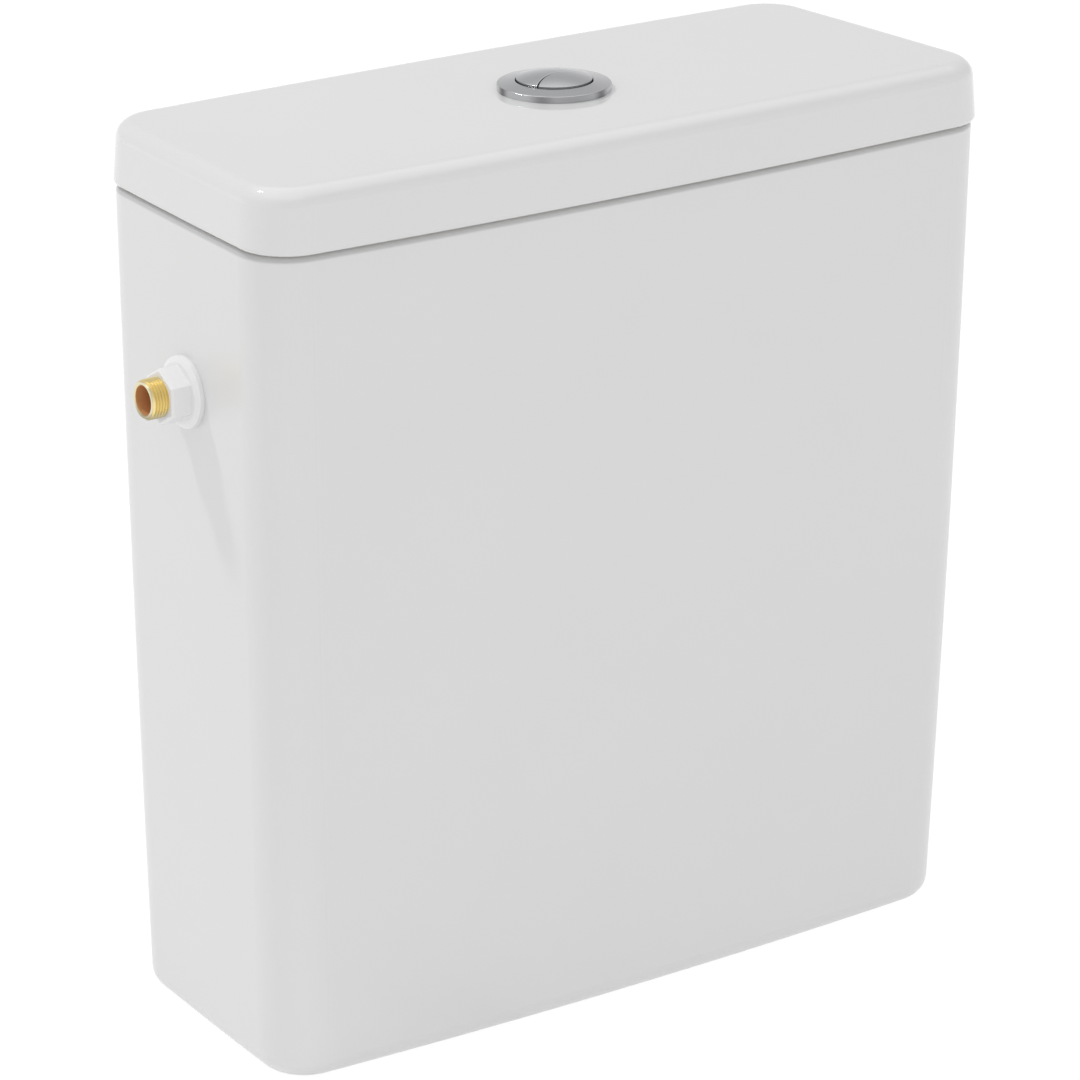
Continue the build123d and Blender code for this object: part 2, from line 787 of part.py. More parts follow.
with BuildPart() as stem_yoke:
    with BuildSketch(Plane.XY.offset(yoke_floor)):
        Circle(tube_radius + yoke_collar_wall)
    extrude(amount=yoke_collar_height)
    for side, (low, high) in window_heights.items():
        with BuildSketch(Plane.XY.offset(yoke_floor)):
            with Locations((-side * (plate_x + yoke_plate) / 2, -side * rod_y)):
                Rectangle(plate_x + yoke_plate, yoke_arm_width)
        extrude(amount=yoke_arm_height)
        with BuildSketch(Plane.XY.offset(yoke_floor)):
            with Locations((-side * (plate_x + yoke_plate / 2), -side * rod_y)):
                Rectangle(yoke_plate, 2 * plate_half)
        extrude(amount=high + yoke_top - yoke_floor)
        with BuildSketch(Plane.XY.offset(low)):
            with Locations((-side * (plate_x + yoke_plate / 2), -side * rod_y)):
                Rectangle(3 * yoke_plate, 2 * window_half)
        extrude(amount=high - low, mode=Mode.SUBTRACT)
    with BuildSketch(Plane.XY.offset(yoke_floor - overrun)):
        Circle(tube_radius + pin_seat_gap)
    extrude(amount=yoke_collar_height + 2 * overrun, mode=Mode.SUBTRACT)
save(stem_yoke, "stem_yoke")

# Inlet: brass tail with its collar inside the tank, and a white flanged nut outside
inlet_washer_x = inlet_inner_x
collar_x = inlet_washer_x - inlet_washer_thickness
nut_x = inlet_land_x + nut_flange_edge + nut_cone + nut_length
tail_x = nut_x + thread_length

with BuildPart() as inlet_washer:
    with BuildSketch(side_plane(inlet_washer_x)):
        Circle(inlet_washer_radius)
        Circle(thread_core_radius + thread_gap, mode=Mode.SUBTRACT)
    extrude(amount=-inlet_washer_thickness)
save(inlet_washer, "inlet_washer")

with BuildPart() as inlet_shank:
    with BuildSketch(side_plane(collar_x)):
        Circle(thread_core_radius)
    extrude(amount=tail_x - collar_x)
    with BuildSketch(side_plane(nut_x)):
        Circle(thread_radius)
    extrude(amount=thread_length)
    chamfer(inlet_shank.faces().sort_by(Axis.X)[0].edges(), thread_lead)
    with BuildSketch(side_plane(collar_x)):
        Circle(shank_collar_radius)
    extrude(amount=-shank_collar)
    with BuildSketch(side_plane(collar_x)):
        Circle(thread_radius)
    extrude(amount=-shank_inner_length)
    with BuildSketch(side_plane(collar_x - shank_inner_length)):
        Circle(inlet_bore)
    extrude(amount=tail_x - collar_x + shank_inner_length, mode=Mode.SUBTRACT)
save(inlet_shank, "inlet_shank")

with BuildPart() as inlet_back_nut:
    with BuildSketch(side_plane(inlet_land_x)):
        Circle(nut_flange_radius)
    extrude(amount=nut_flange_edge)
    with BuildSketch(side_plane(inlet_land_x + nut_flange_edge)):
        Circle(nut_flange_radius)
    with BuildSketch(side_plane(inlet_land_x + nut_flange_edge + nut_cone)):
        Circle(nut_flange_radius - nut_cone_inset)
    loft()
    with BuildSketch(side_plane(inlet_land_x)):
        RegularPolygon(nut_flat_width / 2, 6, major_radius=False, rotation=30)
    extrude(amount=nut_x - inlet_land_x)
    chamfer(inlet_back_nut.faces().sort_by(Axis.X)[0].edges(), nut_corner_bevel)
    with BuildSketch(side_plane(inlet_land_x)):
        Circle(thread_core_radius + thread_gap)
    extrude(amount=nut_x - inlet_land_x, mode=Mode.SUBTRACT)
save(inlet_back_nut, "inlet_back_nut")

# Fill valve: body on the inlet's inner end, screwed cap with its pilot nozzle
socket_x = collar_x - shank_collar
shank_end_x = collar_x - shank_inner_length

with BuildPart() as fill_valve_body:
    with BuildSketch(Plane.XY.offset(fill_body_floor)):
        with Locations(fill_spot):
            Circle(fill_body_radius)
    extrude(amount=fill_body_top - fill_body_floor)
    with BuildSketch(side_plane(-fill_x)):
        Circle(socket_radius)
    extrude(amount=socket_x + fill_x)
    with BuildSketch(side_plane(socket_x - socket_wall_rib)):
        Circle(socket_radius + socket_wall_rib)
    extrude(amount=socket_wall_rib)
    with BuildSketch(side_plane(shank_end_x)):
        Circle(thread_radius + thread_gap)
    extrude(amount=socket_x - shank_end_x, mode=Mode.SUBTRACT)
    with BuildSketch(side_plane(-fill_x)):
        Circle(inlet_bore)
    extrude(amount=shank_end_x + fill_x, mode=Mode.SUBTRACT)
    with BuildSketch(Plane.XY.offset(fill_body_floor)):
        with Locations(fill_spot):
            Circle(down_tube_radius + thread_gap)
    extrude(amount=fill_body_drop - inlet_bore - socket_wall_rib, mode=Mode.SUBTRACT)
save(fill_valve_body, "fill_valve_body")

valve_diaphragm = ring_piece(fill_spot, fill_body_top, diaphragm_thickness, diaphragm_radius, nozzle_radius)
save(valve_diaphragm, "valve_diaphragm")

float_lane_half = float_lever_width / 2 + side_gap
float_ear_middle = float_lane_half + ear_thickness / 2
seal_reach = pilot_seal_radius + float_wall + pilot_seal_length
closed_lean = math.radians(float_tilt)
nozzle_x = fill_x - float_tail * math.cos(closed_lean) + seal_reach * math.sin(closed_lean)
closed_drop = (float_tail + pilot_seal_radius) * math.sin(closed_lean) + seal_reach * math.cos(closed_lean)
nozzle_top = float_pivot_z - closed_drop - contact_gap

with BuildPart() as fill_valve_cap:
    with BuildSketch(Plane.XY.offset(fill_body_top)):
        with Locations(fill_spot):
            Circle(cap_radius)
            with PolarLocations(cap_radius, cap_ribs):
                Circle(cap_rib_radius)
    extrude(amount=cap_height)
    with BuildSketch(Plane.XY.offset(fill_body_top)):
        with Locations(fill_spot):
            Circle(diaphragm_radius + thread_gap)
    extrude(amount=diaphragm_thickness, mode=Mode.SUBTRACT)
    with BuildSketch(Plane.XY.offset(cap_top)):
        with Locations((nozzle_x, inlet_y)):
            Circle(nozzle_radius)
    extrude(amount=nozzle_top - cap_top)
    with BuildSketch(Plane.XY.offset(fill_body_top)):
        with Locations((nozzle_x, inlet_y)):
            Circle(nozzle_bore)
    extrude(amount=nozzle_top - fill_body_top, mode=Mode.SUBTRACT)
    for ear in (-1, 1):
        ear_y = inlet_y + ear * float_ear_middle
        with BuildSketch(Plane.XZ.offset(-ear_y - ear_thickness / 2)):
            with Locations((fill_x, float_pivot_z)):
                Circle(ear_radius)
            with Locations((fill_x, (fill_body_top + cap_height / 2 + float_pivot_z) / 2)):
                Rectangle(2 * ear_radius, float_pivot_z - fill_body_top - cap_height / 2)
            with Locations((fill_x, float_pivot_z)):
                Circle(float_pin_radius + pin_seat_gap, mode=Mode.SUBTRACT)
        extrude(amount=ear_thickness)
save(fill_valve_cap, "fill_valve_cap")

with BuildPart() as float_lever_pin:
    float_pin_length = 2 * (float_lane_half + ear_thickness + pin_stand_out)
    with BuildSketch(Plane.XZ.offset(-inlet_y - float_pin_length / 2)):
        with Locations((fill_x, float_pivot_z)):
            Circle(float_pin_radius)
    extrude(amount=float_pin_length)
save(float_lever_pin, "float_lever_pin")

down_tube_top = inlet_z - inlet_bore - socket_wall_rib
down_tube_floor = floor_top + down_tube_clearance
down_tube_length = down_tube_top - down_tube_floor
down_tube = ring_piece(
    fill_spot, down_tube_floor, down_tube_length, down_tube_radius, down_tube_radius - down_tube_wall
)
save(down_tube, "down_tube")

float_stop = ring_piece(
    fill_spot,
    float_floor - contact_gap - float_stop_height,
    float_stop_height,
    float_stop_radius,
    down_tube_radius + pin_seat_gap,
)
save(float_stop, "float_stop")

# Float lever: fork and slot at the float's rod, a rubber plug over the nozzle at its tail
float_lean = math.radians(-float_tilt)
float_lever_plane = Plane(
    origin=(fill_x, inlet_y, float_pivot_z),
    x_dir=(math.cos(float_lean), 0, math.sin(float_lean)),
    z_dir=(0, -1, 0),
)
slot_play = float_arm * (1 - math.cos(float_lean))
fork_half = float_rod_radius + float_fork_gap
with BuildPart() as float_lever:
    with BuildSketch(float_lever_plane):
        Circle(float_hub_radius)
        with Locations((float_arm, 0)):
            SlotOverall(2 * (float_end_radius + slot_play), 2 * float_end_radius)
        with Locations(((float_arm - float_tail) / 2, 0)):
            Rectangle(float_arm + float_tail, float_lever_bar)
        with Locations((-float_tail, 0)):
            Circle(pilot_seal_radius + float_wall)
        Circle(float_pin_radius + pin_running_gap, mode=Mode.SUBTRACT)
        with Locations((float_arm, 0)):
            SlotOverall(
                2 * (float_pin_radius + float_slot_gap + slot_play),
                2 * (float_pin_radius + float_slot_gap),
                mode=Mode.SUBTRACT,
            )
    extrude(amount=float_lever_width / 2, both=True)
    with BuildSketch(float_lever_plane):
        with Locations((float_arm, 0)):
            Rectangle(2 * (fork_half + float_end_radius), 3 * float_end_radius)
    extrude(amount=fork_half, both=True, mode=Mode.SUBTRACT)
save(float_lever, "float_lever")

seal_plane = Plane(
    origin=(
        fill_x - float_tail * math.cos(float_lean),
        inlet_y,
        float_pivot_z - float_tail * math.sin(float_lean),
    ),
    x_dir=(math.cos(float_lean), 0, math.sin(float_lean)),
    z_dir=(math.sin(float_lean), 0, -math.cos(float_lean)),
)
with BuildPart() as pilot_seal:
    with BuildSketch(seal_plane.offset(pilot_seal_radius + float_wall)):
        Circle(pilot_seal_radius)
    extrude(amount=pilot_seal_length)
save(pilot_seal, "pilot_seal")

# Float: a cup that rides on the down tube, with an ear for its rod
ear_floor = float_top - float_ear_height
with BuildPart() as fill_float:
    with BuildSketch(Plane.XY.offset(float_floor)):
        with Locations(fill_spot):
            Circle(float_radius)
    extrude(amount=float_height)
    fillet(fill_float.edges().group_by(Axis.Z)[-1], float_round)
    with BuildSketch(Plane.XY.offset(ear_floor)):
        with Locations(rod_spot):
            Circle(float_ear_radius)
        with Locations(((fill_x + float_rod_x) / 2, inlet_y)):
            Rectangle(float_arm, 2 * float_ear_radius)
    extrude(amount=float_ear_height)
    with BuildSketch(Plane.XY.offset(ear_floor)):
        with Locations(rod_spot):
            Circle(float_rod_radius + pin_seat_gap)
    extrude(amount=float_ear_height, mode=Mode.SUBTRACT)
    with BuildSketch(Plane.XY.offset(float_floor)):
        with Locations(fill_spot):
            Circle(float_radius - float_wall)
            Circle(down_tube_radius + float_bore_gap + float_wall, mode=Mode.SUBTRACT)
    extrude(amount=float_height - float_ear_height - float_wall, mode=Mode.SUBTRACT)
    with BuildSketch(Plane.XY.offset(float_floor)):
        with Locations(fill_spot):
            Circle(down_tube_radius + float_bore_gap)
    extrude(amount=float_height, mode=Mode.SUBTRACT)
save(fill_float, "fill_float")

link_z = float_pivot_z - float_travel / 2
with BuildPart() as float_rod:
    with BuildSketch(Plane.XY.offset(ear_floor)):
        with Locations(rod_spot):
            Circle(float_rod_radius)
    extrude(amount=link_z + float_rod_rise - ear_floor)
    with BuildSketch(Plane.XZ.offset(-inlet_y - float_rod_radius)):
        with Locations((float_rod_x, link_z)):
            Circle(float_pin_radius + pin_seat_gap)
    extrude(amount=2 * float_rod_radius, mode=Mode.SUBTRACT)
save(float_rod, "float_rod")

with BuildPart() as float_link_pin:
    with BuildSketch(Plane.XZ.offset(-inlet_y - float_lever_width / 2)):
        with Locations((float_rod_x, link_z)):
            Circle(float_pin_radius)
    extrude(amount=float_lever_width)
save(float_link_pin, "float_link_pin")
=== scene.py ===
"""Looks of a ceramic toilet cistern: its finishes, its threads, the light and the camera."""
import json
import math

import bmesh
import bpy
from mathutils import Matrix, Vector


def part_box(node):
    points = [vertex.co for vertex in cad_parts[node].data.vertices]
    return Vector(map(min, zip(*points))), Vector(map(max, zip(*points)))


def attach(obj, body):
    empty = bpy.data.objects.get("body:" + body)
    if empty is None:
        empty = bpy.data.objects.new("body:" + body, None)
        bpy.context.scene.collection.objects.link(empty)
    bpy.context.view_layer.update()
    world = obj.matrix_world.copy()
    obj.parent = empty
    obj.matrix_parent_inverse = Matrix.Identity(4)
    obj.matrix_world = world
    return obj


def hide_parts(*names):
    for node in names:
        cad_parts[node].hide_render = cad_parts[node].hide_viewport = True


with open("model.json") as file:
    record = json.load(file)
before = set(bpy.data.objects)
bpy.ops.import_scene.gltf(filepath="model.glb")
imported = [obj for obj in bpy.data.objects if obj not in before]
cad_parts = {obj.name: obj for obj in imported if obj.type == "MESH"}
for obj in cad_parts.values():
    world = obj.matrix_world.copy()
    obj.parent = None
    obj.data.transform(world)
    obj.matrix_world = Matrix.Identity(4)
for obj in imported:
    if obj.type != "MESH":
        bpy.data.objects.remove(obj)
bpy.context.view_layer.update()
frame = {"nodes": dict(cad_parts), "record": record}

MM = 0.001

# The camera, solved from the outline of the tank and lid in the photograph
camera_place = (-1.18614, -1.6794, 0.93667)
camera_yaw = 35.07
camera_pitch = 20.01
camera_lens = 171.32
sensor_width = 36.0

# The room's plain light: even, and brighter high at its front
room_level = 0.65
bright_side_level = 0.52
bright_side_focus = 4.0
bright_side = (-0.16, -0.61, 0.77)

# The room as gloss sees it: darker upwards from the horizon, with a glow overhead
horizon_level = 0.82
ceiling_level = 0.57
ceiling_height_share = 0.45
overhead_glow = 0.5
overhead_height = (0.6, 0.85)

# The floor: its glow makes the background white, and its paint keeps the shadow
white = (1.0, 1.0, 1.0, 1.0)
floor_color = (0.93, 0.93, 0.93, 1.0)
floor_shown_glow_share = 0.9
floor_plain_glow_share = 0.1
floor_glow = 1.06
floor_drop = 0.2 * MM
floor_size = 40.0

# One small lamp, high on the left behind the tank
lamp_direction = (-0.35, 0.40, 0.85)
lamp_distance = 2.4
lamp_size = 0.22
lamp_power = 13.0

# Colours; the tones are the two ends between which a finish varies softly
glaze_tones = (0.772, 0.774, 0.772), (0.792, 0.792, 0.79)
biscuit_tones = (0.70, 0.68, 0.64), (0.80, 0.785, 0.755)
# Painted shade: the grey painted on the tank just below its rim, standing in for the lid's shadow
lid_shadow_color = (0.56, 0.56, 0.56)
chrome_color = (0.585, 0.59, 0.605)
# Painted reflection: the dark of the bands painted round the ring's side
reflection_band_color = (0.14, 0.14, 0.15)
# Painted shade: the near black painted in the seam round the button
seam_shade_color = (0.06, 0.06, 0.065)
yellow_tones = (0.97, 0.81, 0.40), (0.89, 0.71, 0.32)
brown_tones = (0.72, 0.36, 0.15), (0.62, 0.30, 0.12)
faced_color = (0.80, 0.74, 0.52)
# Painted shade: the darker brass colour painted on the tail's underside
underside_shade_color = (0.36, 0.31, 0.19)
rod_tones = (0.80, 0.60, 0.24), (0.70, 0.50, 0.19)
steel_tones = (0.60, 0.60, 0.61), (0.50, 0.50, 0.51)
rubber_tones = (0.02, 0.02, 0.021), (0.05, 0.049, 0.048)
white_tones = (0.87, 0.87, 0.875), (0.90, 0.90, 0.905)
grey_tones = (0.56, 0.57, 0.58), (0.62, 0.63, 0.64)
blue_tones = (0.03, 0.10, 0.27), (0.04, 0.13, 0.33)

# Glaze: its bare foot, the painted shade of the lid's shadow below the tank's rim, and how wavy and
# pitted its surface is
tank_polish = 0.32
lid_polish = 0.04
glaze_index = 1.5
glaze_coat = 0.5
biscuit_roughness = 0.5
bare_start = 0.1 * MM
bare_end = 0.4 * MM
# Painted shade below the tank's rim: where it begins and where it is full
lid_shadow_start = 3.4 * MM
lid_shadow_end = 2.2 * MM
wave_grain = 38 * MM
wave_depth = 0.16 * MM
pit_grain = 1.2 * MM
pit_share = 0.012

# Turned chrome: its grain, the edge that carries the painted reflection bands, and the painted
# shade in the seam round the button
turning_grain = 0.2 * MM
turning_depth = 0.002 * MM
reflection_band_start = 0.3 * MM
reflection_band_full = 0.05 * MM
seam_offset = 0.1 * MM
# Painted shade in the seam round the button: where it is darkest and how far it reaches
seam_shade_core = 0.06 * MM
seam_shade_width = 0.2 * MM

# Painted reflection: darker bands on the turned side of the ring: angle round the upright axis,
# width, depth
painted_reflection_bands = (
    (-189.0, 13.0, 0.9),
    (-138.0, 17.0, 0.5),
    (-107.0, 52.0, 0.35),
    (-70.0, 14.0, 0.7),
    (-12.0, 14.0, 0.8),
    (50.0, 16.0, 0.6),
    (104.0, 14.0, 0.9),
)

# Turned brass: how far the bore's brown and the faced end's pale reach, and the painted shade on
# its underside
bore_margin = 0.02 * MM
bore_blend = 0.1 * MM
brown_start = 0.2 * MM
faced_start = 0.1 * MM
faced_end = 0.5 * MM
# Painted shade on the tail's underside: where it is full, where it ends, and its strength
underside_shade_height = -7.6 * MM
underside_shade_end = -2.5 * MM
underside_shade_share = 0.9

# The inlet's tail and its thread
tail_pitch = 1.337 * MM
tail_crest = 8.33 * MM
tail_core = 7.52 * MM
tail_lip = 7.4 * MM
inlet_bore = 5.6 * MM
inlet_mouth = 6.15 * MM
mouth_chamfer = 0.35 * MM
thread_hidden = 1.0 * MM
collar_depth = 4.0 * MM
collar_radius = 13.5 * MM

# One turn of the thread: share of the pitch, and whether the crest is there
thread_turn = ((0.0, False), (0.06, False), (0.44, True), (0.56, True), (0.94, False), (1.0, False))
turn_steps = 48
merge_distance = 0.003 * MM
same_plane = 0.002 * MM
sharp_angle = math.radians(35.0)


class Shade:
    """A value among shader nodes; sums, products and powers of it add the nodes they need."""

    def __init__(self, nodes, socket):
        self.nodes = nodes
        self.socket = socket

    def __add__(self, other):
        return self.nodes.math("ADD", self, other)

    def __radd__(self, other):
        return self.nodes.math("ADD", other, self)

    def __sub__(self, other):
        return self.nodes.math("SUBTRACT", self, other)

    def __rsub__(self, other):
        return self.nodes.math("SUBTRACT", other, self)

    def __mul__(self, other):
        return self.nodes.math("MULTIPLY", self, other)

    def __rmul__(self, other):
        return self.nodes.math("MULTIPLY", other, self)

    def __pow__(self, other):
        return self.nodes.math("POWER", self, other)

    def __abs__(self):
        return self.nodes.math("ABSOLUTE", self)


class Nodes:
    """A node tree and the calls that add nodes to it."""

    def __init__(self, tree):
        self.tree = tree

    def node(self, kind, settings=None, sockets=None, output=0):
        made = self.tree.nodes.new("ShaderNode" + kind)
        for name, value in (settings or {}).items():
            setattr(made, name, value)
        for name, value in (sockets or {}).items():
            self.feed(made.inputs[name], value)
        return Shade(self, made.outputs[output])

    def feed(self, socket, value):
        if isinstance(value, Shade):
            self.tree.links.new(value.socket, socket)
        else:
            socket.default_value = value

    def math(self, operation, *values):
        return self.node("Math", {"operation": operation}, dict(enumerate(values)))

    def shown(self):
        """1 where the camera sees this directly, in gloss or through glass; 0 for plain light."""
        kinds = ("Camera", "Glossy", "Transmission")
        direct, gloss, through = (
            self.node("LightPath", output=f"Is {kind} Ray") for kind in kinds
        )
        return self.math("MAXIMUM", self.math("MAXIMUM", direct, gloss), through)

    def span(self, value, low, high, start=0.0, end=1.0, smooth=False):
        """The value's way from low to high, as a number from start to end."""
        settings = {"clamp": True, "interpolation_type": "SMOOTHSTEP" if smooth else "LINEAR"}
        names = ("Value", "From Min", "From Max", "To Min", "To Max")
        sockets = dict(zip(names, (value, low, high, start, end)))
        return self.node("MapRange", settings, sockets, output="Result")


class Finish(Nodes):
    """A material, with the patterns and colours that the pieces' finishes share."""

    def __init__(self, name, **constants):
        self.material = bpy.data.materials.new(name)
        self.material.use_nodes = True
        super().__init__(self.material.node_tree)
        self.shader = self.tree.nodes["Principled BSDF"]
        self.set(**constants)

    def set(self, **sockets):
        for name, value in sockets.items():
            self.feed(self.shader.inputs[name.replace("_", " ")], value)

    def place(self, centre=(0.0, 0.0, 0.0), stretch=(1.0, 1.0, 1.0)):
        """Object coordinates, moved so that the centre is zero."""
        spot = self.node("TexCoord", output="Object")
        offset = tuple(-c * s for c, s in zip(centre, stretch))
        return self.node("Mapping", sockets={"Vector": spot, "Location": offset, "Scale": stretch})

    def axes(self, centre=(0.0, 0.0, 0.0)):
        """The three coordinates measured from a centre, as numbers."""
        place = self.place(centre)
        return [self.node("SeparateXYZ", sockets={"Vector": place}, output=axis) for axis in "XYZ"]

    def noise(self, grain, stretch=(1.0, 1.0, 1.0), detail=2.0):
        """Soft noise from 0 to 1 whose blotches are about one grain across."""
        sockets = {"Vector": self.place(stretch=stretch), "Scale": 1.0 / grain, "Detail": detail}
        return self.node("TexNoise", sockets=sockets, output="Fac")

    def blend(self, share, first, second):
        """A colour between two colours."""
        sockets = {0: share, 6: self.rgba(first), 7: self.rgba(second)}
        return self.node("Mix", {"data_type": "RGBA"}, sockets, output=2)

    def rgba(self, color):
        if isinstance(color, Shade) or len(color) == 4:
            return color
        return (*color, 1.0)

    def bump(self, height, depth):
        """A normal that follows a height of the given depth in metres."""
        sockets = {"Height": height, "Distance": depth, "Strength": 1.0}
        self.set(Normal=self.node("Bump", sockets=sockets, output="Normal"))


def glaze(name, foot_z, polish, lid_shadow_strength=0.0):
    """White sanitary glaze, with painted shade below the tank's rim where the lid's shadow falls,
    bare biscuit where it stood in the kiln.
    """
    finish = Finish(name, Coat_Roughness=polish, IOR=glaze_index)
    height = finish.axes()[2]
    bare = finish.span(height, foot_z + bare_start, foot_z + bare_end, 1.0, 0.0)
    clean = finish.blend(finish.noise(60 * MM), *glaze_tones)
    rim_z = tank_high.z
    # Painted shade: the tank turns grey just below its rim, where the lid's shadow falls
    lid_shadow_mask = finish.span(height, rim_z - lid_shadow_start, rim_z - lid_shadow_end, 0.0, lid_shadow_strength, smooth=True)
    body = finish.blend(lid_shadow_mask, clean, lid_shadow_color)
    biscuit = finish.blend(finish.noise(1.5 * MM), *biscuit_tones)
    finish.set(
        Base_Color=finish.blend(bare, body, biscuit),
        Roughness=polish + 0.04 * finish.noise(25 * MM) + biscuit_roughness * bare,
        Coat_Weight=glaze_coat - glaze_coat * bare,
    )
    waves = finish.noise(wave_grain, detail=1.0)
    finish.bump(waves + pit_share * finish.noise(pit_grain), wave_depth)
    return finish.material


def satin_chrome(name):
    """Satin plated metal, turned, so that its grain runs round the upright axis; with painted
    reflection bands round the ring's side and painted shade in the seam round the button.
    """
    finish = Finish(name, Metallic=1.0)
    x, y, z = finish.axes()
    radius = (x * x + y * y) ** 0.5
    grain = finish.node("CombineXYZ", sockets={"X": radius, "Y": z})
    sockets = {"Vector": grain, "Scale": 1 / turning_grain, "Detail": 3.0}
    rings = finish.node("TexNoise", sockets=sockets)
    # Painted reflection: dark bands painted round the turned side of the ring, set by angle
    edge = finish.span(radius, ring_radius - reflection_band_start, ring_radius - reflection_band_full)
    # Painted shade: the narrow seam round the button painted near black
    seam = finish.span(abs(radius - seam_radius), seam_shade_core, seam_shade_width, 1.0, 0.0)
    angle = finish.math("ARCTAN2", y, x)
    dark = 0.0
    for middle, spread, depth in painted_reflection_bands:
        away = abs(finish.math("WRAP", angle - math.radians(middle), math.pi, -math.pi))
        dark = dark + finish.span(away, 0.0, math.radians(spread), depth, 0.0, smooth=True)
    seam_shaded = finish.blend(seam, chrome_color, seam_shade_color)
    finish.set(
        Base_Color=finish.blend(edge * dark, seam_shaded, reflection_band_color),
        Roughness=0.16 + 0.1 * rings,
    )
    finish.bump(rings, turning_depth)
    return finish.material


def turned_brass(name, axis_y, axis_z, bore_radius, tip):
    """Yellow brass, pale on its faced end, browned in the bore, with painted shade darkening its
    underside.
    """
    finish = Finish(name)
    x, y, z = finish.axes((-tip, axis_y, axis_z))
    radius = (y * y + z * z) ** 0.5
    bore = finish.span(radius, bore_radius + bore_margin, bore_radius + bore_blend, 1.0, 0.0)
    inside = bore * finish.span(x, brown_start, faced_end)
    faced = (1.0 - inside) * finish.span(x, faced_start, faced_end, 1.0, 0.0)
    tarnish = finish.noise(3 * MM, detail=4.0)
    # Painted shade: the underside of the tail painted darker
    under = finish.span(z, underside_shade_height, underside_shade_end, underside_shade_share, 0.0, smooth=True)
    yellow = finish.blend(tarnish, *yellow_tones)
    pale = finish.blend(faced, yellow, faced_color)
    underside_shaded = finish.blend(under, pale, underside_shade_color)
    brown = finish.blend(tarnish, *brown_tones)
    finish.set(
        Metallic=1.0 - inside,
        Base_Color=finish.blend(inside, underside_shaded, brown),
        Roughness=0.24 + 0.12 * finish.noise(1.2 * MM) + 0.3 * inside,
    )
    finish.bump(finish.noise(0.5 * MM), 0.004 * MM)
    return finish.material


def drawn_metal(name, tones, grain, stretch, roughness, spread, depth):
    """Drawn metal, with its grain long in the direction of the smallest stretch."""
    finish = Finish(name, Metallic=1.0)
    drawn = finish.noise(grain, stretch=stretch)
    finish.set(Base_Color=finish.blend(drawn, *tones), Roughness=roughness + spread * drawn)
    finish.bump(drawn, depth)
    return finish.material


def moulded_plastic(name, tones, roughness):
    """Moulded plastic: nearly even colour, with the fine texture of its mould."""
    finish = Finish(name, IOR=1.5)
    finish.set(
        Base_Color=finish.blend(finish.noise(9 * MM), *tones),
        Roughness=roughness + 0.08 * finish.noise(2 * MM),
    )
    finish.bump(finish.noise(0.4 * MM), 0.006 * MM)
    return finish.material


def rubber(name):
    """Black moulded rubber with a dusty bloom."""
    finish = Finish(name, IOR=1.45)
    bloom = finish.noise(4 * MM, detail=5.0)
    finish.set(Base_Color=finish.blend(bloom, *rubber_tones), Roughness=0.62 + 0.2 * bloom)
    finish.bump(finish.noise(0.35 * MM), 0.012 * MM)
    return finish.material


def dress(piece, material):
    """Gives a piece one material."""
    piece.data.materials.clear()
    piece.data.materials.append(material)


# Places taken from the frame
tail_low, tail_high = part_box("inlet_shank")
nut_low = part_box("inlet_back_nut")[0]
inlet_y = (tail_low.y + tail_high.y) / 2
inlet_z = (tail_low.z + tail_high.z) / 2
ring_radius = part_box("bezel_ring")[1].x
seam_radius = (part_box("full_button")[1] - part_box("full_button")[0]).x / 2 + seam_offset
tank_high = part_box("tank")[1]

finishes = {
    "glazed_ceramic": glaze("glaze", 0.0, tank_polish, lid_shadow_strength=1.0),
    "satin_chrome": satin_chrome("satin_chrome"),
    "white_plastic": moulded_plastic("white_plastic", white_tones, 0.26),
    "pale_grey_plastic": moulded_plastic("pale_grey_plastic", grey_tones, 0.42),
    "blue_plastic": moulded_plastic("blue_plastic", blue_tones, 0.38),
    "brass": drawn_metal(
        "drawn_brass", rod_tones, 0.8 * MM, (1.0, 1.0, 0.05), 0.25, 0.15, 0.004 * MM
    ),
    "black_rubber": rubber("rubber"),
    "stainless_steel": drawn_metal(
        "stainless", steel_tones, 0.6 * MM, (1.0, 0.08, 1.0), 0.28, 0.12, 0.003 * MM
    ),
}
lid_finish = glaze("lid_glaze", tank_high.z, lid_polish)
tail_finish = turned_brass("turned_brass", inlet_y, inlet_z, inlet_mouth, -tail_low.x)

slots = {row["node"]: row["material_slot"] for row in frame["record"]["subparts"]}
for name, node in frame["nodes"].items():
    dress(node, finishes[slots[name]])
dress(frame["nodes"]["lid"], lid_finish)


def grow_ring(mesh, edges, centre, axis, along, radius):
    """Extrudes a loop about an axis and sets every new point's place along it and radius."""
    made = bmesh.ops.extrude_edge_only(mesh, edges=edges)["geom"]
    for point in [g for g in made if isinstance(g, bmesh.types.BMVert)]:
        arm = point.co - centre
        arm -= axis * arm.dot(axis)
        point.co = centre + axis * along + arm.normalized() * radius
    return [g for g in made if isinstance(g, bmesh.types.BMEdge)]


def rim_at(mesh, centre, axis, along):
    """The open edges that lie in the plane across an axis at one place."""

    def in_plane(edge):
        return all(abs((v.co - centre).dot(axis) - along) < same_plane for v in edge.verts)

    return [edge for edge in mesh.edges if edge.is_boundary and in_plane(edge)]


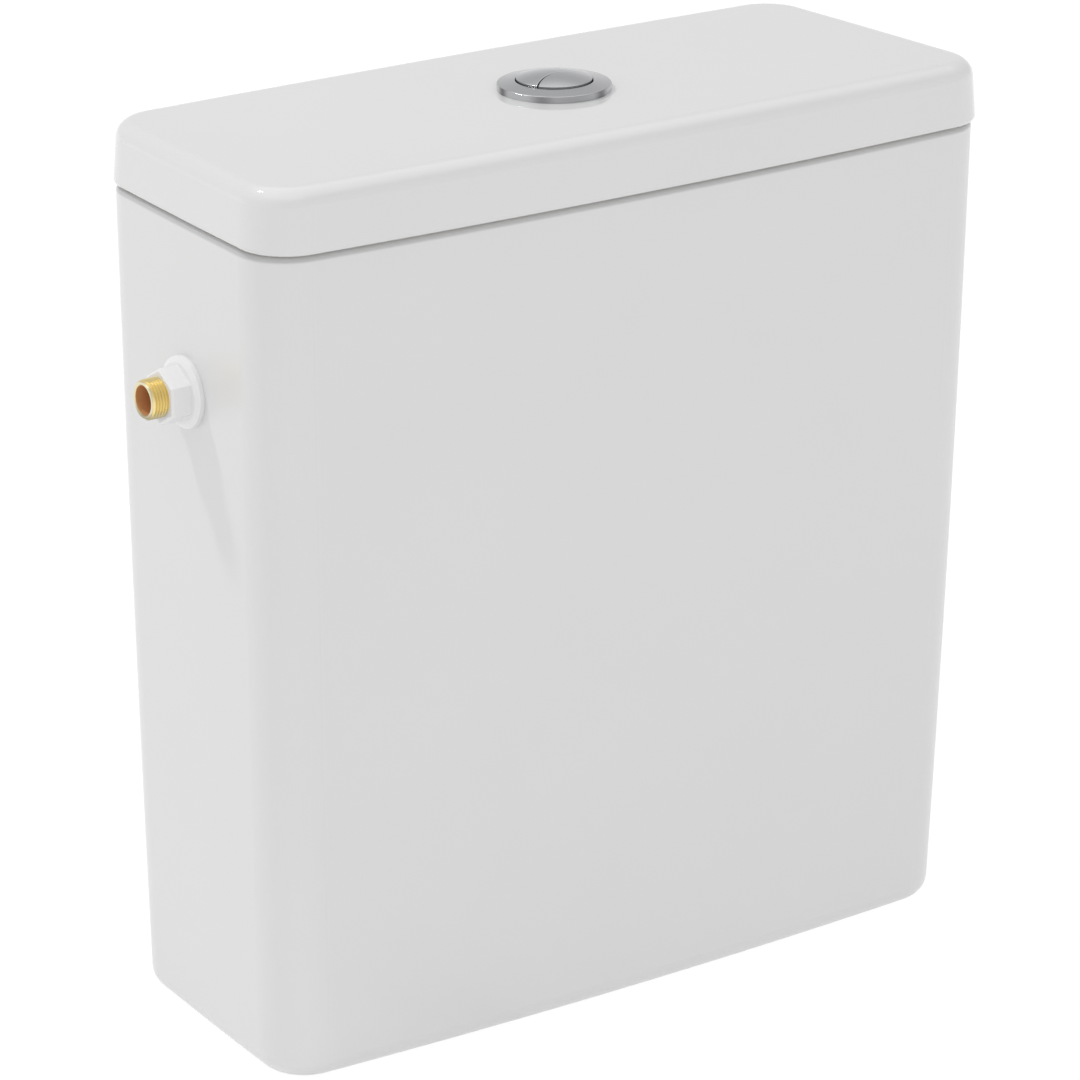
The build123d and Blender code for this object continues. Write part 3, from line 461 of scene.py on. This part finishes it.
def thread_mesh(centre, axis, start, end, pitch, core, crest):
    """A screw thread along an axis from one place to another, open at both ends."""
    mesh = bmesh.new()
    side = axis.orthogonal().normalized()
    turns = math.ceil((end - start) / pitch) + 2
    points = []
    for share, high in thread_turn:
        along = start + (share - 1.0) * pitch
        radius = crest if high else core
        points.append(mesh.verts.new(centre + axis * along + side * radius))
    edges = [mesh.edges.new(pair) for pair in zip(points, points[1:])]
    bmesh.ops.spin(
        mesh,
        geom=points + edges,
        cent=centre,
        axis=axis,
        dvec=axis * (pitch / turn_steps),
        angle=turns * math.tau,
        steps=turns * turn_steps,
    )
    bmesh.ops.remove_doubles(mesh, verts=mesh.verts, dist=merge_distance)
    for place, outward in ((start, -axis), (end, axis)):
        bmesh.ops.bisect_plane(
            mesh,
            geom=mesh.verts[:] + mesh.edges[:] + mesh.faces[:],
            plane_co=centre + axis * place,
            plane_no=outward,
            clear_outer=True,
        )
    return mesh


def taper_end(mesh, centre, axis, end, radius):
    """Turns a thread down to a radius at its end, so that its lip is a plain 45 degree cone."""
    for point in mesh.verts:
        arm = point.co - centre
        along = arm.dot(axis)
        arm -= axis * along
        limit = radius + abs(end - along)
        if arm.length > limit:
            point.co = centre + axis * along + arm.normalized() * limit


def finished_piece(name, mesh, body, material):
    """Makes a mesh into a smooth-shaded piece that rides on a body."""
    bmesh.ops.recalc_face_normals(mesh, faces=mesh.faces)
    for face in mesh.faces:
        face.smooth = True
    for edge in mesh.edges:
        edge.smooth = len(edge.link_faces) == 2 and edge.calc_face_angle(0.0) < sharp_angle
    data = bpy.data.meshes.new(name)
    mesh.to_mesh(data)
    mesh.free()
    piece = bpy.data.objects.new(name, data)
    bpy.context.scene.collection.objects.link(piece)
    dress(piece, material)
    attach(piece, body)
    return piece


def inlet_tail():
    """The brass inlet with its real thread, bored through, with the collar inside the tank."""
    axis = Vector((-1.0, 0.0, 0.0))
    centre = Vector((0.0, inlet_y, inlet_z))
    tip = -tail_low.x
    nut_face = -nut_low.x
    thread_start = nut_face - thread_hidden
    washer_x = -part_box("inlet_washer")[0].x
    collar_x = washer_x - collar_depth
    inner_end = -tail_high.x
    mesh = thread_mesh(centre, axis, thread_start, tip, tail_pitch, tail_core, tail_crest)
    taper_end(mesh, centre, axis, tip, tail_lip)
    taper_end(mesh, centre, axis, thread_start, tail_core)
    face = rim_at(mesh, centre, axis, tip)
    outline = (
        (tip, inlet_mouth + mouth_chamfer),
        (tip - mouth_chamfer, inlet_mouth),
        (nut_face, inlet_mouth),
        (nut_face - mouth_chamfer, inlet_bore),
        (inner_end, inlet_bore),
    )
    for along, radius in outline:
        face = grow_ring(mesh, face, centre, axis, along, radius)
    shank = rim_at(mesh, centre, axis, thread_start)
    outline = (
        (washer_x, tail_core),
        (washer_x, collar_radius),
        (collar_x, collar_radius),
        (collar_x, tail_crest),
        (inner_end, tail_crest),
    )
    for along, radius in outline:
        shank = grow_ring(mesh, shank, centre, axis, along, radius)
    bmesh.ops.bridge_loops(mesh, edges=face + shank)
    piece = finished_piece("inlet_tail", mesh, "cistern", tail_finish)
    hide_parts("inlet_shank")


inlet_tail()


def white_room():
    """A world that shows as white, darkens upwards in gloss and is brighter in front for light."""
    world = bpy.data.worlds.new("room")
    bpy.context.scene.world = world
    world.use_nodes = True
    nodes = Nodes(world.node_tree)
    way = nodes.node("TexCoord", output="Generated")
    height = nodes.node("SeparateXYZ", sockets={"Vector": way}, output="Z")
    gloss = nodes.node("LightPath", output="Is Glossy Ray")
    dimming = (1.0 - horizon_level, 1.0 - ceiling_level)
    ceiling = 1.0 - gloss * nodes.span(height, 0.0, ceiling_height_share, *dimming)
    overhead = nodes.span(height, *overhead_height, 0.0, overhead_glow, smooth=True)
    seen = ceiling + gloss * overhead
    sockets = {0: way, 1: bright_side}
    facing = nodes.node("VectorMath", {"operation": "DOT_PRODUCT"}, sockets, output="Value")
    bright = nodes.math("MAXIMUM", facing, 0.0) ** bright_side_focus
    plain = room_level + bright_side_level * bright
    shown = nodes.shown()
    back = nodes.tree.nodes["Background"]
    nodes.feed(back.inputs["Color"], white)
    nodes.feed(back.inputs["Strength"], shown * seen + (1.0 - shown) * plain)


def pale_floor():
    """The floor: it shows as the white background and keeps a faint shadow."""
    mesh = bmesh.new()
    bmesh.ops.create_grid(mesh, x_segments=1, y_segments=1, size=floor_size / 2)
    data = bpy.data.meshes.new("floor")
    mesh.to_mesh(data)
    mesh.free()
    floor = bpy.data.objects.new("floor", data)
    bpy.context.scene.collection.objects.link(floor)
    floor.location.z = -floor_drop
    finish = Finish("floor")
    paint = finish.node("BsdfDiffuse", sockets={"Color": floor_color})
    glow = finish.node("Emission", sockets={"Color": white, "Strength": floor_glow})
    shares = (floor_plain_glow_share, floor_shown_glow_share)
    share = finish.span(finish.shown(), 0.0, 1.0, *shares)
    mixed = finish.node("MixShader", sockets={0: share, 1: paint, 2: glow})
    finish.feed(finish.tree.nodes["Material Output"].inputs["Surface"], mixed)
    dress(floor, finish.material)


def soft_lamp():
    """The lamp that throws the inlet's faint shadow down the left side."""
    data = bpy.data.lights.new("lamp", "AREA")
    data.shape = "DISK"
    data.size = lamp_size
    data.energy = lamp_power
    lamp = bpy.data.objects.new("lamp", data)
    toward = Vector(lamp_direction).normalized()
    lamp.location = toward * lamp_distance + Vector((0.0, 0.0, tank_high.z / 2))
    lamp.rotation_mode = "QUATERNION"
    lamp.rotation_quaternion = toward.to_track_quat("Z", "Y")
    bpy.context.scene.collection.objects.link(lamp)


def photo_camera():
    """The photograph's viewpoint."""
    data = bpy.data.cameras.new("camera")
    data.lens = camera_lens
    data.sensor_width = sensor_width
    camera = bpy.data.objects.new("camera", data)
    camera.location = camera_place
    camera.rotation_euler = (math.radians(90.0 - camera_pitch), 0.0, -math.radians(camera_yaw))
    bpy.context.scene.collection.objects.link(camera)
    bpy.context.scene.camera = camera


white_room()
pale_floor()
soft_lamp()
photo_camera()
bpy.context.scene.view_settings.view_transform = "Standard"
